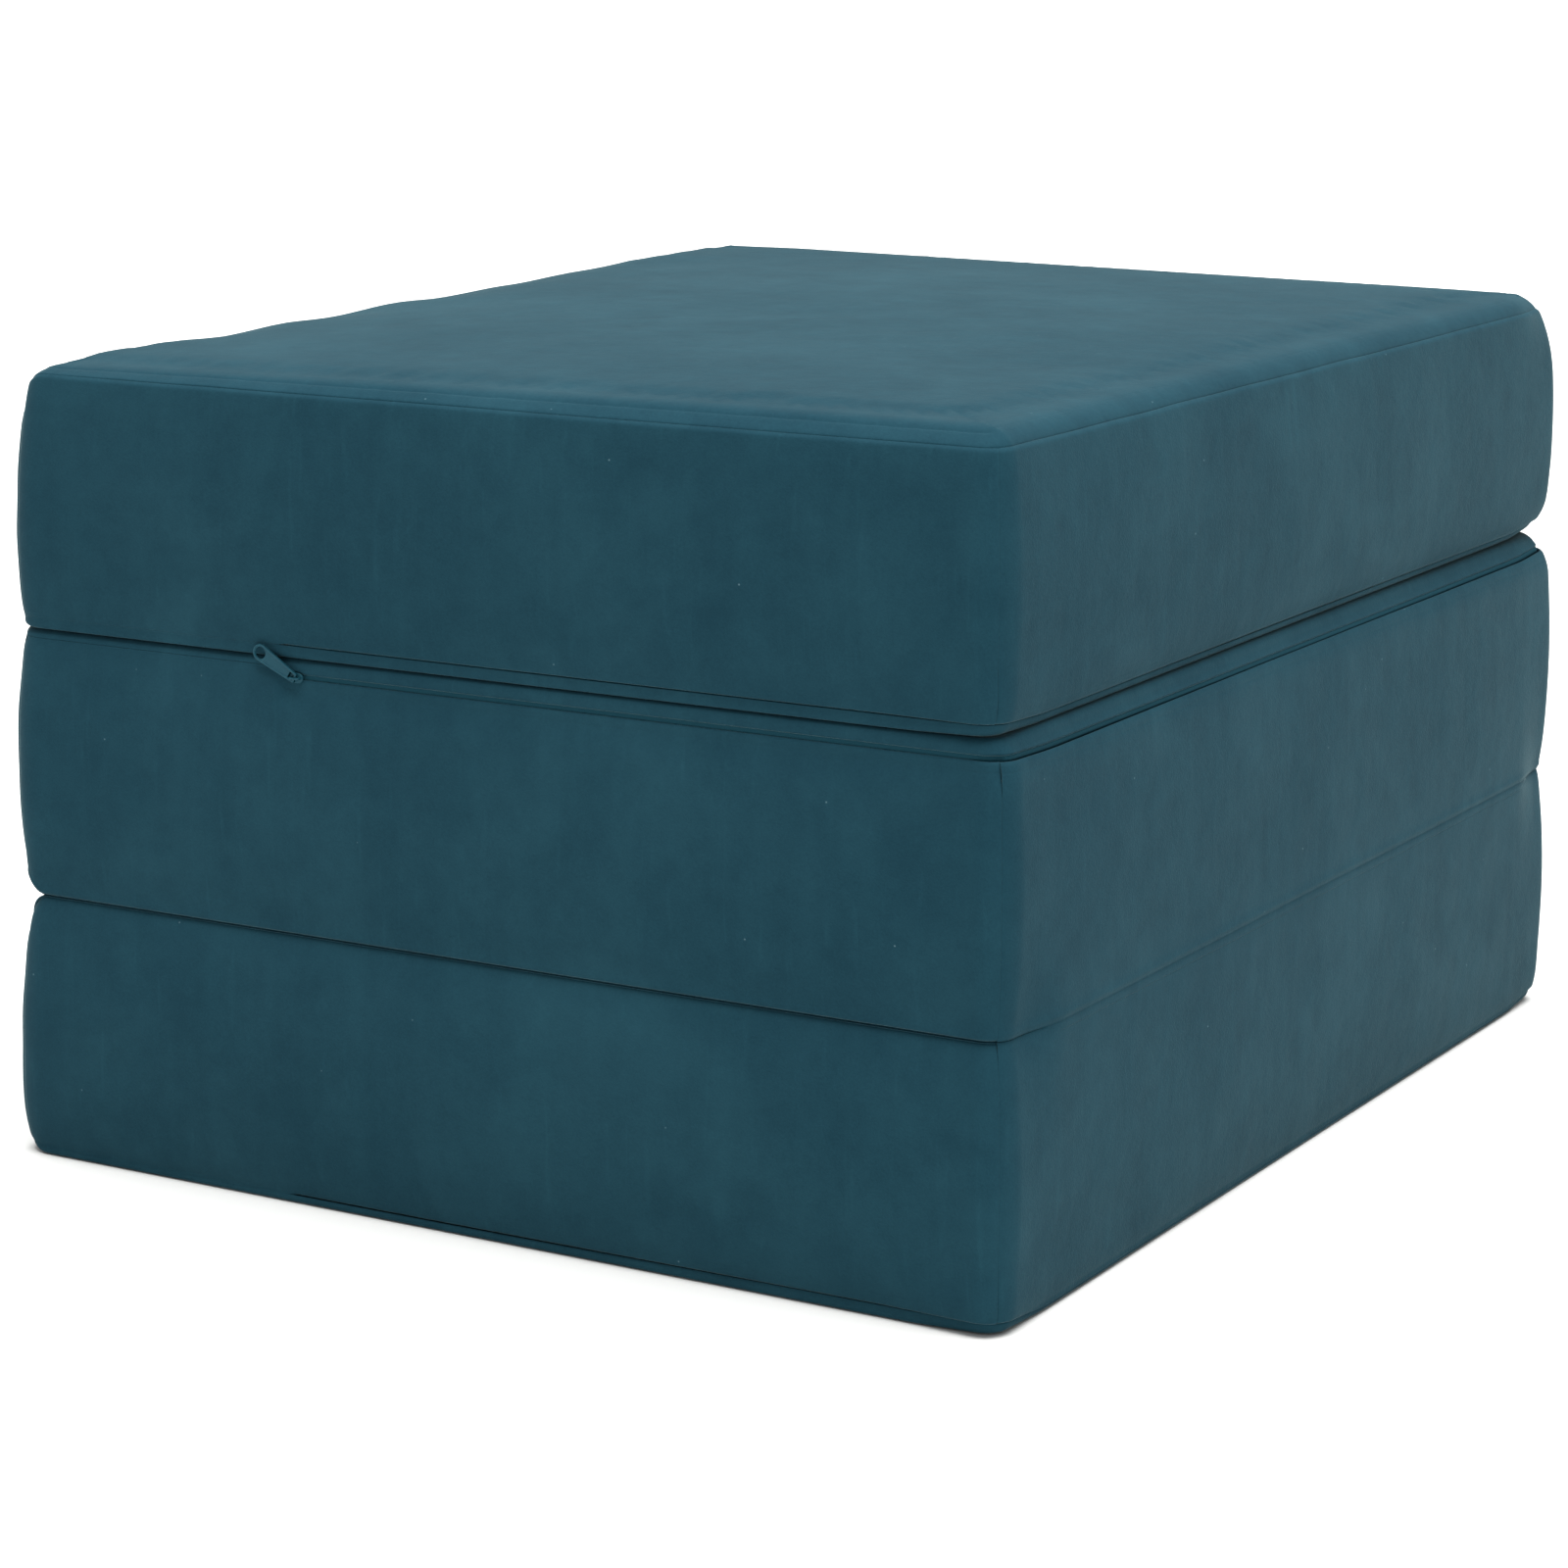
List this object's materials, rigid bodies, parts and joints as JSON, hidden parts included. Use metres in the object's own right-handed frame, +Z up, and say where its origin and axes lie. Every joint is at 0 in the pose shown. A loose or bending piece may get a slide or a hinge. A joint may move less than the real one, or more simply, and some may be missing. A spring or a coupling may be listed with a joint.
{
  "type": "folding sofa bed",
  "caption": "Folding sofa bed: box cushions of foam in zipped velvet covers, joined by fabric hinges and folded into a stack.",
  "frame": {"origin": "middle of the underside of the folded stack, on the floor", "axes": "+X along the bed's length, from the side hinged at the bases to the side hinged at the sleeping faces; +Y along the hinges; +Z up"},
  "size_m": [0.6528, 0.789, 0.4775],
  "materials": {
    "velvet": "short pile polyester velvet",
    "foam": "open-cell polyurethane foam",
    "zip_tape": "woven polyester tape",
    "zip_chain": "dyed nylon coil",
    "zip_metal": "teal coated zinc"
  },
  "bodies": {
    "bottom_panel": {"bottom_foam_core": "foam", "bottom_sleeping_cover": "velvet", "bottom_base_cover": "velvet", "bottom_front_band": "velvet", "bottom_right_band": "velvet", "bottom_back_band": "velvet", "bottom_zip_tape_band_side": "zip_tape", "bottom_zip_tape_base_side": "zip_tape", "bottom_zip_chain": "zip_chain", "bottom_zip_closed_stop": "zip_chain", "bottom_zip_open_stop": "zip_chain", "right_hinge_cloth": "velvet"},
    "bottom_zip_slider": {"bottom_zip_slider": "zip_metal"},
    "bottom_zip_pull": {"bottom_zip_pull": "zip_metal"},
    "middle_panel": {"middle_foam_core": "foam", "middle_sleeping_cover": "velvet", "middle_base_cover": "velvet", "middle_front_band": "velvet", "middle_right_band": "velvet", "middle_back_band": "velvet", "middle_zip_tape_band_side": "zip_tape", "middle_zip_tape_base_side": "zip_tape", "middle_zip_chain": "zip_chain", "middle_zip_closed_stop": "zip_chain", "middle_zip_open_stop": "zip_chain", "left_hinge_cloth": "velvet"},
    "middle_zip_slider": {"middle_zip_slider": "zip_metal"},
    "middle_zip_pull": {"middle_zip_pull": "zip_metal"},
    "top_panel": {"top_foam_core": "foam", "top_sleeping_cover": "velvet", "top_base_cover": "velvet", "top_front_band": "velvet", "top_right_band": "velvet", "top_back_band": "velvet", "top_zip_tape_band_side": "zip_tape", "top_zip_tape_base_side": "zip_tape", "top_zip_chain": "zip_chain", "top_zip_closed_stop": "zip_chain", "top_zip_open_stop": "zip_chain"},
    "top_zip_slider": {"top_zip_slider": "zip_metal"},
    "top_zip_pull": {"top_zip_pull": "zip_metal"}
  },
  "joints": [
    {"name": "middle_fold", "type": "hinge", "parent": "bottom_panel", "child": "middle_panel", "pos_m": [0.3276, 0, 0.15685], "axis": [0, 1, 0], "range_deg": [0, 180], "deforming": ["right_hinge_cloth"]},
    {"name": "top_fold", "type": "hinge", "parent": "middle_panel", "child": "top_panel", "pos_m": [-0.3276, 0, 0.31385], "axis": [0, -1, 0], "range_deg": [0, 180], "deforming": ["left_hinge_cloth"]},
    {"name": "bottom_zip_slide", "type": "slide", "parent": "bottom_panel", "child": "bottom_zip_slider", "axis": [1, 0, 0], "range_m": [0, 0.414]},
    {"name": "bottom_pull_swing", "type": "hinge", "parent": "bottom_zip_slider", "child": "bottom_zip_pull", "pos_m": [-0.1182, 0.39055, 0.0101], "axis": [0.1045, 0, -0.9945], "range_deg": [0, 160]},
    {"name": "middle_zip_slide", "type": "slide", "parent": "middle_panel", "child": "middle_zip_slider", "axis": [1, 0, 0], "range_m": [0, 0.414]},
    {"name": "middle_pull_swing", "type": "hinge", "parent": "middle_zip_slider", "child": "middle_zip_pull", "pos_m": [-0.1182, -0.39055, 0.3036], "axis": [0.4695, 0, 0.8829], "range_deg": [0, 160]},
    {"name": "top_zip_slide", "type": "slide", "parent": "top_panel", "child": "top_zip_slider", "axis": [1, 0, 0], "range_m": [0, 0.414]},
    {"name": "top_pull_swing", "type": "hinge", "parent": "top_zip_slider", "child": "top_zip_pull", "pos_m": [-0.1182, 0.39055, 0.3241], "axis": [0.4226, 0, -0.9063], "range_deg": [0, 160]}
  ]
}
